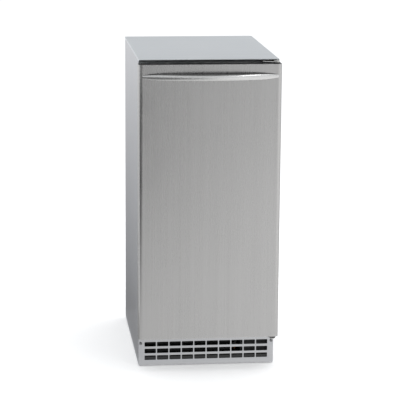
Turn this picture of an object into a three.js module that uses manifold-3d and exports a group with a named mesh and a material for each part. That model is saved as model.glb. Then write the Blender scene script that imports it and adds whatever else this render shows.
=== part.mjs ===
// Undercounter ice maker, 15 inch class: a brushed steel cabinet with one tall right-hinged door,
// an ice section that sprays water up into a cube mold, and a front-breathing condensing unit.
// Millimetres, +Z up, front towards -Y, origin on the floor under the middle of the bounding box.

import * as THREE from "three";
import { mergeVertices } from "three/addons/utils/BufferGeometryUtils.js";
import Module from "manifold-3d";

const wasm = await Module();
wasm.setup();

// ---- driving dimensions ----

const height = 848;
const cabinetWidth = 372;
const doorWidth = 380;
const depth = 560; // door face to the back of the top panel
const handleReach = 32; // how far the handle stands out from the door
const doorThickness = 43;
const doorBottom = 93;
const doorTop = 838.5;
const sheet = 1.2; // steel sheet
const gap = 0.3; // between pieces that meet

const backY = (depth + handleReach) / 2;
const doorFaceY = backY - depth;
const frontY = doorFaceY + 60.6; // front edges of the cabinet's steel
const sideX = cabinetWidth / 2;
const insideX = sideX - 1.4; // inside the side panels
const flange = 15; // the side panels' turned-in edges
const flangeY = [backY - 4, backY - 3]; // their back flanges, which carry the rear panel
const panelBottom = 2.6; // cabinet above the floor, with the feet screwed right in
const panFloor = panelBottom + 1.4;
const deckZ = 262; // top of the machine compartment
const railZ = 832.3; // underside of the front top rail
const railTop = 840.2;
const railBackY = -150;

const opening = { x: 150, low: 300, high: 796 }; // the bin's mouth
const liner = { wall: 2.6, back: 235 };

const hinge = { x: 178, y: doorFaceY + 24, pin: 4 };
const kick = { top: 83, screwX: 180.2, screwZ: 65 };
const slots = { columns: 10, rows: 3, width: 31.2, height: 12.6, pitchX: 34.2, pitchZ: 19.1, firstZ: 24.3 };

const fan = { x: -50, y: -112, z: 135, radius: 74 };
const condenserBox = { x: [-170, 70], y: [-196, -150], z: [30, 240] };
const compressorAt = { x: 85, y: 165, feet: 60 };
const moldBox = { x: [-115, 60], y: [30, 205], z: [742, 770] };
const pumpAt = { x: 96, y: 120 };
const curtainAxis = { y: 4, z: 735 };
const chuteTilt = THREE.MathUtils.degToRad(14);

// ---- finishes: colour, roughness, metalness ----

const finishes = {
  brushedSteel: [0xb9b8b6, 0.36, 0.9],
  sideSteel: [0xb4b8bc, 0.42, 0.85],
  topSteel: [0xc6cacd, 0.34, 0.88],
  galvanized: [0xa9adae, 0.5, 0.8],
  polishedSteel: [0xd2d2d0, 0.2, 1.0],
  blackPlastic: [0x1c1c1e, 0.55, 0.0],
  greyPlastic: [0x5b5d60, 0.6, 0.0],
  whitePlastic: [0xe9ebe8, 0.45, 0.0],
  bluePlastic: [0xa9c3cf, 0.4, 0.0],
  foam: [0xe6d9a8, 0.95, 0.0],
  rubber: [0x2a2a2b, 0.85, 0.0],
  copper: [0xb8703f, 0.3, 1.0],
  tinnedCopper: [0xc9cbc8, 0.28, 1.0],
  aluminium: [0xc3c7ca, 0.4, 0.9],
  blackFins: [0x26282a, 0.6, 0.3],
  blackPaint: [0x222326, 0.4, 0.4],
};

// ---- making and joining solids ----

function solid(geometry) {
  const bare = geometry.clone();
  bare.deleteAttribute("normal");
  bare.deleteAttribute("uv");
  const merged = mergeVertices(bare, 1e-4);
  const mesh = new wasm.Mesh({
    numProp: 3,
    vertProperties: merged.attributes.position.array,
    triVerts: new Uint32Array(merged.index.array),
  });
  return new wasm.Manifold(mesh);
}

function join(first, ...others) {
  return others.reduce((sum, other) => sum.add(other), first);
}

function cut(first, ...others) {
  return others.reduce((rest, other) => rest.subtract(other), first);
}

// A block between two places on each axis.
function block(x, y, z) {
  const geometry = new THREE.BoxGeometry(x[1] - x[0], y[1] - y[0], z[1] - z[0]);
  geometry.translate((x[0] + x[1]) / 2, (y[0] + y[1]) / 2, (z[0] + z[1]) / 2);
  return solid(geometry);
}

// A block centred on x = 0.
function wide(halfWidth, y, z) {
  return block([-halfWidth, halfWidth], y, z);
}

// A round bar along an axis; place holds its other two coordinates in X, Y, Z order.
function rod(axis, place, radius, span, sides = 24) {
  const geometry = new THREE.CylinderGeometry(radius, radius, span[1] - span[0], sides);
  const middle = (span[0] + span[1]) / 2;
  if (axis === "x") {
    geometry.rotateZ(Math.PI / 2).translate(middle, place[0], place[1]);
  } else if (axis === "y") {
    geometry.translate(place[0], middle, place[1]);
  } else {
    geometry.rotateX(Math.PI / 2).translate(place[0], place[1], middle);
  }
  return solid(geometry);
}

// An outline of points, extruded along Z from x and y, along Y from x and z, or along X from y and z.
function prism(axis, outline, span) {
  const shape = new THREE.Shape(outline.map(([a, b]) => new THREE.Vector2(a, b)));
  const settings = { depth: span[1] - span[0], bevelEnabled: false };
  const geometry = new THREE.ExtrudeGeometry(shape, settings);
  if (axis === "z") {
    geometry.translate(0, 0, span[0]);
  } else if (axis === "y") {
    geometry.rotateX(Math.PI / 2).translate(0, span[1], 0);
  } else {
    const turn = new THREE.Matrix4().makeBasis(
      new THREE.Vector3(0, 1, 0),
      new THREE.Vector3(0, 0, 1),
      new THREE.Vector3(1, 0, 0),
    );
    geometry.applyMatrix4(turn).translate(span[0], 0, 0);
  }
  return solid(geometry);
}

// A solid of revolution about Z through place, from a profile of radius and height.
function revolve(profile, place = [0, 0], sides = 24) {
  const points = profile.map(([radius, z]) => new THREE.Vector2(radius, z));
  const geometry = new THREE.LatheGeometry(points, sides);
  geometry.rotateX(Math.PI / 2).translate(place[0], place[1], 0);
  return solid(geometry);
}

// A path of straight runs with rounded corners.
function route(points, bend) {
  const corners = points.map((p) => new THREE.Vector3(...p));
  const path = new THREE.CurvePath();
  let start = corners[0];
  for (let i = 1; i < corners.length - 1; i += 1) {
    const corner = corners[i];
    const before = corner.clone().lerp(corners[i - 1], bend / corner.distanceTo(corners[i - 1]));
    const after = corner.clone().lerp(corners[i + 1], bend / corner.distanceTo(corners[i + 1]));
    path.add(new THREE.LineCurve3(start, before));
    path.add(new THREE.QuadraticBezierCurve3(before, corner, after));
    start = after;
  }
  path.add(new THREE.LineCurve3(start, corners[corners.length - 1]));
  return path;
}

// A solid round pipe along a path.
function pipe(path, radius, steps, sides = 8) {
  const section = new THREE.Shape();
  for (let i = 0; i < sides; i += 1) {
    const angle = (i / sides) * 2 * Math.PI;
    const point = [radius * Math.cos(angle), radius * Math.sin(angle)];
    if (i === 0) section.moveTo(...point);
    else section.lineTo(...point);
  }
  const settings = { steps, extrudePath: path, bevelEnabled: false };
  return solid(new THREE.ExtrudeGeometry(section, settings));
}

function arc(centre, radius, from, to, steps) {
  const points = [];
  for (let i = 0; i <= steps; i += 1) {
    const angle = THREE.MathUtils.degToRad(from + ((to - from) * i) / steps);
    points.push([centre[0] + radius * Math.cos(angle), centre[1] + radius * Math.sin(angle)]);
  }
  return points;
}

function geometryOf(manifold) {
  const mesh = manifold.getMesh();
  const geometry = new THREE.BufferGeometry();
  geometry.setAttribute("position", new THREE.BufferAttribute(mesh.vertProperties, 3));
  geometry.setIndex(new THREE.BufferAttribute(mesh.triVerts, 1));
  geometry.computeVertexNormals();
  return geometry;
}

function add(parent, name, finish, manifold, place = [0, 0, 0]) {
  const [color, roughness, metalness] = finishes[finish];
  const material = new THREE.MeshStandardMaterial({ color, roughness, metalness });
  const mesh = new THREE.Mesh(geometryOf(manifold), material);
  mesh.name = name;
  mesh.position.set(...place);
  parent.add(mesh);
  return mesh;
}

// ---- cabinet ----

const footX = sideX - 34;
const footFrontY = frontY + 34;
const footBackY = 252;
const footPlaces = {
  front_left: [-footX, footFrontY],
  front_right: [footX, footFrontY],
  rear_left: [-footX, footBackY],
  rear_right: [footX, footBackY],
};

function basePan() {
  const rim = 24;
  const bossHeight = 12;
  const wall = 1.4;
  const y = [frontY + gap, flangeY[0] - gap];
  const outer = wide(insideX - gap, y, [panelBottom, panelBottom + rim]);
  const inner = wide(insideX - gap - wall, [y[0] + wall, y[1] - wall], [panFloor, panFloor + rim]);
  let pan = cut(outer, inner);
  for (const place of Object.values(footPlaces)) {
    pan = join(pan, rod("z", place, 10, [panFloor - 0.5, panFloor + bossHeight], 12));
    pan = cut(pan, rod("z", place, 5.4, [0, 30], 12));
  }
  return pan;
}

const sidePanelTop = 842.9;

function sidePanel(side) {
  const outline = [
    [0, frontY],
    [flange, frontY],
    [flange, frontY + 1],
    [1, frontY + 1],
    [1, flangeY[0]],
    [flange, flangeY[0]],
    [flange, flangeY[1]],
    [0, flangeY[1]],
  ].map(([x, y]) => [side * (sideX - x), y]);
  const panel = prism("z", outline, [panelBottom, sidePanelTop]);
  // The flanges stop short where the base pan, the service panel and the hinge bracket pass.
  const inward = side < 0 ? [-sideX + 1, -sideX + 20] : [sideX - 20, sideX - 1];
  return cut(
    panel,
    block(inward, [frontY - 1, backY], [0, kick.top + 1]),
    block(inward, [280, backY], [0, deckZ]),
    block(inward, [frontY - 1, -100], [railTop, height]),
  );
}

function rearPanel() {
  const y = [flangeY[1] + gap, flangeY[1] + gap + sheet];
  return wide(insideX, y, [deckZ + 4, sidePanelTop]);
}

// The service panel stands in from the back, so the water and drain fittings stay inside the depth.
const serviceY = [266, 266 + sheet];

function rearServicePanel() {
  let panel = wide(insideX - 0.6, serviceY, [30, deckZ - 4]);
  const turned = wide(insideX - 0.6, [serviceY[0], 290], [deckZ - 4 - sheet, deckZ - 4]);
  panel = join(panel, turned);
  const louvres = 7;
  const through = [260, 275];
  for (let row = 0; row < louvres; row += 1) {
    const z = 128 + row * 15;
    const left = block([-130, -20], through, [z, z + 6]);
    const right = block([20, 130], through, [z, z + 6]);
    panel = cut(panel, left, right);
  }
  return cut(
    panel,
    rod("y", [inletAt.x, inletAt.z], 15, through, 16),
    rod("y", [drainAt.x, drainAt.z], 13, through, 16),
    rod("y", [glandAt.x, glandAt.z], 9.5, through, 16),
  );
}

function topPanel() {
  const halfWidth = sideX + 0.8;
  const lip = 4.6;
  const topFrontY = doorFaceY + 32;
  const outer = wide(halfWidth, [topFrontY, backY], [height - lip, height]);
  const hollow = wide(halfWidth - sheet, [topFrontY + sheet, backY - sheet], [0, height - sheet]);
  const rearLip = wide(halfWidth, [backY - sheet, backY], [height - 18, height - lip + 1]);
  return join(cut(outer, hollow), rearLip);
}

function frontTopRail() {
  const wall = 1.5;
  const front = frontY + 1 + gap;
  const back = railBackY;
  const outline = [
    [front, railZ],
    [front + wall, railZ],
    [front + wall, railTop - wall],
    [back - wall, railTop - wall],
    [back - wall, railZ],
    [back, railZ],
    [back, railTop],
    [front, railTop],
  ];
  return prism("x", outline, [-insideX + gap, insideX - gap]);
}

const frameY = [frontY - 6.4, frontY - gap];

function faceFrame() {
  const outer = wide(sideX - gap, frameY, [deckZ + 10.3, railTop - gap]);
  return cut(outer, wide(opening.x, [-300, 0], [opening.low, opening.high]));
}

const switchAt = { x: 128, z: 182 };

function lowerFrontPanel() {
  const panel = wide(sideX - gap, [frontY - gap - sheet, frontY - gap], [kick.top + 1.3, deckZ + 10]);
  const { x, z } = switchAt;
  return cut(panel, block([x - 11.5, x + 11.5], [-300, 0], [z - 17, z + 17]));
}

function kickPanel() {
  const face = [frontY - gap - sheet, frontY - gap];
  const sheetFace = wide(sideX, face, [panelBottom, kick.top]);
  const fold = wide(sideX - 24, [face[0], face[1] + 6], [kick.top - sheet, kick.top]);
  let panel = join(sheetFace, fold);
  for (let column = 0; column < slots.columns; column += 1) {
    const x = (column - (slots.columns - 1) / 2) * slots.pitchX;
    for (let row = 0; row < slots.rows; row += 1) {
      const z = slots.firstZ + row * slots.pitchZ;
      const spanX = [x - slots.width / 2, x + slots.width / 2];
      panel = cut(panel, block(spanX, [-300, 0], [z - slots.height / 2, z + slots.height / 2]));
    }
  }
  for (const side of [-1, 1]) {
    panel = cut(panel, rod("y", [side * kick.screwX, kick.screwZ], 2.3, [-300, 0], 16));
  }
  return panel;
}

function kickScrew() {
  const head = revolve([[0, 0], [4, 0], [3.4, 1.6], [1.5, 2.3], [0, 2.3]], [0, 0], 16);
  const shank = revolve([[0, -9], [1.2, -8], [1.9, -6.5], [1.9, 0.2], [0, 0.2]], [0, 0], 16);
  return join(head, shank);
}

function binLiner() {
  const { x, low, high } = opening;
  const wall = liner.wall;
  const outer = wide(x + wall, [frontY + gap, liner.back + wall], [low - wall, high + wall]);
  const inner = wide(x, [-300, liner.back], [low, high]);
  const linePass = block([suctionX - 22, suctionX + 12], [200, 260], [768, 784]);
  const drainPass = rod("z", [drainAt.x, drainAt.y], 8, [200, 320], 16);
  return cut(outer, inner, linePass, drainPass);
}

function cabinetInsulation() {
  const wall = liner.wall + gap;
  const low = opening.low - wall;
  const high = opening.high + wall;
  const lower = wide(insideX - gap, [frontY + 1.4, flangeY[0] - gap], [deckZ, railZ - gap]);
  const upperZ = [railZ - gap - 1, height - sheet - gap];
  const upper = wide(insideX - gap, [railBackY + gap, flangeY[0] - gap], upperZ);
  const binSpace = wide(opening.x + wall, [-300, liner.back + wall], [low, high]);
  const lineChase = block([suctionX - 26, suctionX + 14], [250, 300], [200, 790]);
  const linePass = block([suctionX - 26, suctionX + 14], [200, 300], [764, 790]);
  const drainX = [drainAt.x - 13, drainAt.x + 13];
  const drainPass = block(drainX, [drainAt.y - 13, drainAt.y + 13], [200, 320]);
  return cut(join(lower, upper), binSpace, lineChase, linePass, drainPass);
}

// ---- hinges ----

const bracketZ = [railTop + gap, railTop + gap + 2.5];

function topHingeBracket() {
  const nose = arc([hinge.x, hinge.y], 8, 250, 360, 6);
  const left = [[142, -158], [142, doorFaceY + 33]];
  const right = [[sideX, frontY - 2], [184, frontY - 2], [184, -158]];
  const outline = [...left, ...nose, ...right];
  const plate = prism("z", outline, bracketZ);
  return cut(plate, rod("z", [hinge.x, hinge.y], hinge.pin + gap, [830, 850], 20));
}

function topHingePin() {
  const foot = doorTop - 15;
  const high = bracketZ[1];
  const profile = [[0, foot], [hinge.pin - 1, foot], [hinge.pin, foot + 1], [hinge.pin, high + gap]];
  const head = [[7, high + gap], [7, high + 1.7], [6, high + 2.3], [0, high + 2.3]];
  return revolve([...profile, ...head], [hinge.x, hinge.y], 20);
}

const armZ = [kick.top + 1.3, kick.top + 5.3];

function bottomHingeBracket() {
  const legY = [frontY - 4.9, frontY - 1.9];
  const leg = block([146, sideX - gap], legY, [armZ[0], armZ[0] + 34]);
  const nose = arc([hinge.x, hinge.y], 8, 235, 360, 8);
  const arm = prism("z", [[150, legY[1]], [150, legY[0] - 6], ...nose, [sideX, legY[1]]], armZ);
  const screwHoles = [156, 174].map((x) => rod("y", [x, armZ[0] + 22], 2.4, [-300, 0], 12));
  return cut(join(leg, arm), rod("z", [hinge.x, hinge.y], hinge.pin + gap, [60, 100], 20), ...screwHoles);
}

function bottomHingePin() {
  const low = armZ[0] - 2.6;
  const tip = doorBottom + 15;
  const head = [[0, low], [6.5, low], [7, low + 0.5], [7, armZ[0] - gap]];
  const shank = [[hinge.pin, armZ[0] - gap], [hinge.pin, tip - 1], [hinge.pin - 1, tip], [0, tip]];
  return revolve([...head, ...shank], [hinge.x, hinge.y], 20);
}

// ---- ice section, inside the bin liner ----

const cheekX = [126, 129];

function evaporatorFrame() {
  const y = [10, 225];
  const left = block([-cheekX[1], -cheekX[0]], y, [588, 790]);
  const right = block(cheekX, y, [588, 790]);
  const back = wide(cheekX[1], [222, 225], [588, 764]);
  const frontBeam = wide(cheekX[1], [10, 13], [746, 790]);
  const ledges = [-1, 1].map((side) => {
    const span = side < 0 ? [-cheekX[1], -113] : [113, cheekX[1]];
    return block(span, y, [588, 591]);
  });
  const eyes = [[-126, -123], [66, 69]].map((span) => {
    const eye = block(span, [-2, 13], [728, 748]);
    return cut(eye, rod("x", [curtainAxis.y, curtainAxis.z], 3.8, [span[0] - 1, span[1] + 1], 16));
  });
  const shaftPass = rod("z", [pumpAt.x, pumpAt.y], 6, [640, 660], 12);
  const pumpShelf = cut(block([68, cheekX[1]], [92, 148], [648, 651]), shaftPass);
  return join(left, right, back, frontBeam, ...ledges, ...eyes, pumpShelf);
}

function evaporatorMold() {
  const { x, y, z } = moldBox;
  let mold = block(x, y, z);
  const across = 5;
  const along = 5;
  for (let i = 0; i < across; i += 1) {
    for (let j = 0; j < along; j += 1) {
      const centre = [x[0] + (i + 0.5) * 35, y[0] + (j + 0.5) * 35];
      mold = cut(mold, rod("z", centre, 15.5, [z[0] - 1, z[1] - 4], 8));
    }
  }
  const ears = [50, 185].flatMap((earY) => [
    block([-cheekX[0] + gap, x[0] + 1], [earY - 8, earY + 8], [z[1] - 5, z[1]]),
    block([x[1] - 1, cheekX[0] - gap], [earY - 8, earY + 8], [z[1] - 5, z[1]]),
  ]);
  return join(mold, ...ears);
}

function evaporatorCoil() {
  const z = moldBox.z[1] + 5;
  const runs = [60, 90, 120, 150, 180];
  const turnX = [-100, 20];
  const points = [[suctionX - 10, 228, z], [suctionX - 10, 214, z], [40, 214, z], [40, runs[0], z]];
  runs.forEach((y, i) => {
    const [near, far] = i % 2 === 0 ? [turnX[1], turnX[0]] : turnX;
    if (i > 0) points.push([near, y, z]);
    points.push([far, y, z]);
  });
  points.push([turnX[0], 204, z]);
  return pipe(route(points, 12), 4.2, 60, 6);
}

function iceChute() {
  const length = 180;
  const x = [-119, 64];
  const slatCount = 10;
  const bars = [-1, 1].map((end) => {
    const y = end * (length / 2 - 8);
    return block(x, [y - 2.5, y + 2.5], [-4, 0.5]);
  });
  const slats = [];
  for (let i = 0; i < slatCount; i += 1) {
    const slatX = x[0] + 1.5 + (i * (x[1] - x[0] - 3)) / (slatCount - 1);
    slats.push(block([slatX - 1.5, slatX + 1.5], [-length / 2, length / 2], [0, 6]));
  }
  return join(bars[0], bars[1], ...slats);
}

function sprayManifold() {
  const z = 650;
  const tubesX = [-97, -62, -27, 8, 43];
  let manifold = rod("x", [206, z], 7.5, [-104, 60], 8);
  for (const x of tubesX) {
    manifold = join(manifold, rod("y", [x, z], 5.5, [40, 208], 8));
    for (let j = 0; j < 5; j += 1) {
      manifold = join(manifold, rod("z", [x, moldBox.y[0] + (j + 0.5) * 35], 2.6, [z, z + 10], 6));
    }
  }
  const feed = pipe(route([[52, 206, z], [96, 206, z], [96, 206, 612], [96, 152, 612]], 10), 5, 18);
  return join(manifold, feed);
}

function waterSump() {
  const outer = wide(124, [14, 220], [591.4, 636]);
  const inner = wide(121.5, [16.5, 217.5], [594, 640]);
  return cut(outer, inner);
}

function pumpMotor() {
  const profile = [[0, 651.4], [20, 651.4], [24, 655], [24, 706], [20, 712], [0, 712]];
  const can = revolve(profile, [pumpAt.x, pumpAt.y]);
  return join(can, rod("z", [pumpAt.x, pumpAt.y], 2.5, [614, 652], 12));
}

function pumpVolute() {
  const place = [pumpAt.x, pumpAt.y];
  const spout = block([pumpAt.x - 7, pumpAt.x + 7], [130, 150.6], [605, 619]);
  const body = join(rod("z", place, 23, [602, 624]), spout);
  const chamber = rod("z", place, 18, [601, 620]);
  const shaftHole = rod("z", place, 4, [618, 630], 16);
  return cut(body, chamber, shaftHole);
}

function pumpImpeller() {
  const hub = rod("z", [0, 0], 6, [-6, 6], 16);
  const blades = [0, 1, 2, 3].map((i) => {
    const blade = block([3, 15], [-1, 1], [-5, 5]);
    return blade.rotate([0, 0, i * 90]);
  });
  const boreHole = rod("z", [0, 0], 3, [-10, 3.5], 12).translate([0, 0, 4]);
  return cut(join(hub, ...blades), boreHole);
}

function iceCurtain() {
  const axle = rod("x", [0, 0], 3, [-128, 71], 12);
  const panel = block([-119, 62], [-1.25, 1.25], [-98, 0]);
  const stiffener = block([-119, 62], [-2.8, 1.25], [-98, -92]);
  return join(axle, panel, stiffener);
}

function thermostatTube() {
  const x = 138;
  const y = -40;
  const tube = rod("z", [x, y], 5, [470, 590], 16);
  const clips = [490, 570].map((z) => block([x, opening.x - gap], [y - 6, y + 6], [z, z + 10]));
  return join(tube, ...clips);
}

// ---- condensing unit ----

function compressor() {
  const { x, y, feet } = compressorAt;
  const profile = [[0, 19], [52, 19], [68, 34], [73, 60], [73, 100], [76, 100], [76, 105], [73, 105]];
  const dome = [[73, 140], [66, 168], [48, 184], [24, 190], [0, 191]];
  const shell = revolve([...profile, ...dome], [x, y], 20);
  const plate = block([x - feet - 14, x + feet + 14], [y - feet - 14, y + feet + 14], [17, 20]);
  const holes = grommetPlaces.map((place) => rod("z", place, 5, [10, 30], 12));
  const terminalCover = block([x - 94, x - 60], [y - 24, y + 24], [86, 136]);
  const processTube = rod("z", [x + 30, y - 20], 3.5, [175, 205], 10);
  return join(cut(plate, ...holes), shell, terminalCover, processTube);
}

const grommetPlaces = [
  [compressorAt.x - compressorAt.feet, compressorAt.y - compressorAt.feet],
  [compressorAt.x + compressorAt.feet, compressorAt.y - compressorAt.feet],
  [compressorAt.x - compressorAt.feet, compressorAt.y + compressorAt.feet],
  [compressorAt.x + compressorAt.feet, compressorAt.y + compressorAt.feet],
];

function grommet() {
  const low = panFloor + gap;
  const base = [[0, low], [9, low], [9, 16.7], [4.6, 16.7]];
  const collar = [[4.6, 20.4], [8, 20.4], [8, 23], [0, 23]];
  return revolve([...base, ...collar], [0, 0], 10);
}

function condenser() {
  const { x, y, z } = condenserBox;
  const pitch = 10;
  const fin = 1.6;
  const core = [y[0] + 17, y[1] - 17];
  const frontEdge = [];
  const backEdge = [];
  for (let left = x[0] + 2; left + fin < x[1]; left += pitch) {
    frontEdge.push([left, core[0]], [left, y[0]], [left + fin, y[0]], [left + fin, core[0]]);
    backEdge.push([left, core[1]], [left, y[1]], [left + fin, y[1]], [left + fin, core[1]]);
  }
  const front = [[x[0], core[0]], ...frontEdge, [x[1], core[0]]];
  const back = [[x[1], core[1]], ...backEdge.reverse(), [x[0], core[1]]];
  const finned = prism("z", [...front, ...back], z);
  const bends = [50, 92, 134, 176].map((low) => {
    const middle = (y[0] + y[1]) / 2;
    const bend = new THREE.CubicBezierCurve3(
      new THREE.Vector3(x[1] - 2, middle, low),
      new THREE.Vector3(x[1] + 16, middle, low),
      new THREE.Vector3(x[1] + 16, middle, low + 22),
      new THREE.Vector3(x[1] - 2, middle, low + 22),
    );
    return pipe(bend, 4.2, 6, 6);
  });
  return join(finned, ...bends);
}

function fanShroud() {
  const { x, z } = condenserBox;
  const y = [condenserBox.y[1] + gap, fan.y - 8];
  const wall = 1.5;
  const outer = block(x, y, z);
  const inside = block([x[0] + wall, x[1] - wall], [y[0] - 1, y[1] - wall], [z[0] + wall, z[1] - wall]);
  const collar = rod("y", [fan.x, fan.z], fan.radius + 5.5, [y[1] - wall, fan.y + 12], 32);
  const orifice = rod("y", [fan.x, fan.z], fan.radius + 4, [y[0] - 1, fan.y + 20], 32);
  return cut(join(cut(outer, inside), collar), orifice);
}

function condenserFan() {
  const hub = rod("y", [0, 0], 18, [-9, 9], 20);
  const bladeCount = 5;
  const blades = [];
  for (let i = 0; i < bladeCount; i += 1) {
    const blade = block([12, fan.radius], [-1, 1], [-16, 16]).rotate([28, 0, 0]);
    blades.push(blade.rotate([0, (i * 360) / bladeCount, 0]));
  }
  return cut(join(hub, ...blades), rod("y", [0, 0], 3.5, [-3, 12], 16));
}

function fanMotor() {
  const can = revolve([[0, 20], [24, 20], [32, 26], [32, 66], [26, 72], [0, 72]]);
  const shaft = rod("z", [0, 0], 3, [0, 21], 12);
  return join(can, shaft).rotate([-90, 0, 0]);
}

function fanMotorBracket() {
  const ringY = [36, 44];
  const plateY = -8 + gap; // just behind the shroud's plate
  let bracket = cut(rod("y", [0, 0], 37, ringY, 24), rod("y", [0, 0], 32.8, [30, 50], 24));
  for (const angle of [90, 210, 330]) {
    const arm = block([34, 98], [ringY[0], ringY[0] + 2], [-6, 6]);
    const leg = block([95, 98], [plateY, ringY[0] + 2], [-6, 6]);
    const foot = block([88, 100], [plateY, plateY + 2], [-6, 6]);
    bracket = join(bracket, join(arm, leg, foot).rotate([0, angle, 0]));
  }
  return bracket;
}

const drierAt = { y: 20, z: 60 };

function liquidLine() {
  const { y, z } = drierAt;
  const profile = [[0, -52], [4, -52], [6, -44], [12, -36], [12, 36], [6, 44], [4, 52], [0, 52]];
  const drier = revolve(profile, [0, 0], 16).rotate([0, 90, 0]).translate([0, y, z]);
  const inlet = pipe(route([[50, y, z], [90, y, z], [90, -173, 38], [70.5, -173, 38]], 9), 3, 16, 6);
  const riserX = suctionX - 18;
  const outlet = [[-50, y, z], [-66, y, z], [-66, y, 210], [riserX, 180, 240], [riserX, 258, 240]];
  outlet.push([riserX, 258, 776], [riserX, 230, 776]);
  return join(drier, inlet, pipe(route(outlet, 14), 2.6, 40, 5));
}

const suctionX = 100;

function suctionLine() {
  const start = [compressorAt.x + 68, compressorAt.y + 42, 130];
  const low = [start, [153, 236, 130], [153, 254, 160], [153, 254, 236]];
  const high = [[suctionX, 259, 250], [suctionX, 259, 775], [suctionX, 240, 775]];
  const points = [...low, ...high];
  return pipe(route(points, 12), 4.2, 36, 6);
}

function dischargeLine() {
  const start = [compressorAt.x - 34, compressorAt.y - 70, 120];
  const points = [start, [40, 60, 120], [90, 20, 214], [90, -173, 214], [70.5, -173, 214]];
  return pipe(route(points, 9), 3.2, 28, 6);
}

const inletAt = { x: -140, z: 70 };
const drainAt = { x: -90, y: 200, z: 50 };
const glandAt = { x: 150, z: 60 };

function waterInletValve() {
  const { x, z } = inletAt;
  const body = block([x - 16, x + 16], [222, 258], [z - 14, z + 14]);
  const inlet = rod("y", [x, z], 12.5, [256, 291], 20);
  const bore = rod("y", [x, z], 8, [270, 295], 20);
  const coil = block([x - 13, x + 13], [226, 254], [z + 12, z + 46]);
  const outlet = rod("z", [x - 6, 214], 4, [z - 8, z + 30], 12);
  const elbow = block([x - 11, x - 1], [209, 224], [z - 8, z + 4]);
  return join(cut(join(body, inlet), bore), coil, elbow, outlet);
}

function drainTube() {
  const { x, y, z } = drainAt;
  const down = [[x, y, 299], [x, y, z], [x, 290, z]];
  const outer = pipe(route(down, 24), 10, 12, 8);
  const inner = pipe(route([[x, y, 310], [x, y, z], [x, 300, z]], 24), 7, 12, 8);
  return cut(outer, inner).intersect(wide(200, [0, 289], [0, 296]));
}

function cordGland() {
  const collar = rod("y", [0, 0], 13, [gap, 4], 16);
  const barrel = rod("y", [0, 0], 9, [-8, 18], 16);
  return cut(join(collar, barrel), rod("y", [0, 0], 5, [-20, 30], 12));
}

function controlBox() {
  const outer = block([96, 178], [-188, -60], [34, 222]);
  const inner = block([97.2, 176.8], [-186.8, -58], [35.2, 220.8]);
  const passX = [switchAt.x - 12, switchAt.x + 12];
  const switchPass = block(passX, [-200, -180], [switchAt.z - 18, switchAt.z + 18]);
  return cut(outer, inner, switchPass);
}

function powerSwitch() {
  // A rocker whose face is two shallow planes, tipping about X through its middle.
  const outline = [[-5.5, -15], [-7.5, 0], [-5.5, 15], [3, 12], [5, 0], [3, -12]];
  return prism("x", outline, [-9.5, 9.5]);
}

// ---- door, in its own frame: x across, y back from its face, z up from its bottom edge ----

const doorHeight = doorTop - doorBottom;
const corner = 11;
const skin = 1;
const capHeight = 18;
const skinDepth = doorThickness - 3;

// The plan of the door's body, inset all round its front and sides.
function doorPlan(inset, back) {
  const x = doorWidth / 2 - inset;
  const radius = corner - inset;
  const right = arc([x - radius, inset + radius], radius, 0, -90, 8);
  const left = arc([-x + radius, inset + radius], radius, -90, -180, 8);
  return [[x, back], ...right, ...left, [-x, back]];
}

function doorSkin() {
  const outer = prism("z", doorPlan(0, skinDepth), [0, doorHeight]);
  const inner = prism("z", doorPlan(skin, skinDepth + 5), [-1, doorHeight + 1]);
  return cut(outer, inner);
}

function pinHole(z) {
  return rod("z", [hinge.x, hinge.y - doorFaceY], hinge.pin + 0.5, z, 20);
}

function doorTopCap() {
  const cap = prism("z", doorPlan(skin + gap, skinDepth), [doorHeight - capHeight, doorHeight - 0.4]);
  return cut(cap, pinHole([doorHeight - 16, doorHeight + 5]));
}

function doorBottomCap() {
  const cap = prism("z", doorPlan(skin + gap, skinDepth), [0.2, capHeight]);
  return cut(cap, pinHole([-5, 16]));
}

const dike = { x: 141, low: opening.low - doorBottom + 9, high: opening.high - doorBottom - 9, reach: 15 };

function doorLiner() {
  const y = [skinDepth + gap, skinDepth + gap + 2.4];
  const { x, low, high, reach } = dike;
  const plate = wide(doorWidth / 2 - 1, y, [0.2, doorHeight - 0.4]);
  const raised = wide(x, [y[0], y[1] + reach], [low, high]);
  const hollow = wide(x - 2.4, [0, y[1] + reach - 2.4], [low + 2.4, high - 2.4]);
  return cut(join(plate, raised), hollow);
}

function doorInsulation() {
  const { x, low, high, reach } = dike;
  const inset = 2.4 + gap;
  const z = [capHeight + gap, doorHeight - capHeight - gap];
  const core = prism("z", doorPlan(skin + gap, skinDepth), z);
  const plug = wide(x - inset, [skinDepth - 1, skinDepth + reach - gap], [low + inset, high - inset]);
  return join(core, plug);
}

function doorGasket() {
  const y = [doorThickness, frameY[0] - doorFaceY - gap];
  const outerX = 174;
  const innerX = 158;
  const low = opening.low - doorBottom - 20;
  const high = opening.high - doorBottom + 20;
  const outer = wide(outerX, y, [low, high]);
  return cut(outer, wide(innerX, [0, 100], [low + 14, high - 14]));
}

const handle = { z: 807 - doorBottom, outerX: 181, innerX: 167, thick: 11.5, high: 18, tip: 10 };

function doorHandle() {
  const steps = 24;
  const outer = [];
  const inner = [];
  const upper = [];
  const lower = [];
  for (let i = 0; i <= steps; i += 1) {
    const t = (2 * i) / steps - 1;
    const bow = 1 - t * t;
    outer.push([handle.outerX * t, -gap - 0.2 - (handleReach - gap - 0.2) * bow]);
    inner.push([handle.innerX * t, -gap - 0.2 - (handleReach - handle.thick) * bow]);
    const half = (handle.tip + (handle.high - handle.tip) * (1 - t ** 8)) / 2;
    upper.push([(handle.outerX + 1) * t, handle.z + half]);
    lower.push([(handle.outerX + 1) * t, handle.z - half]);
  }
  const plan = prism("z", [...outer, ...inner.reverse()], [handle.z - 20, handle.z + 20]);
  return plan.intersect(prism("y", [...upper, ...lower.reverse()], [-50, 10]));
}

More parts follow.
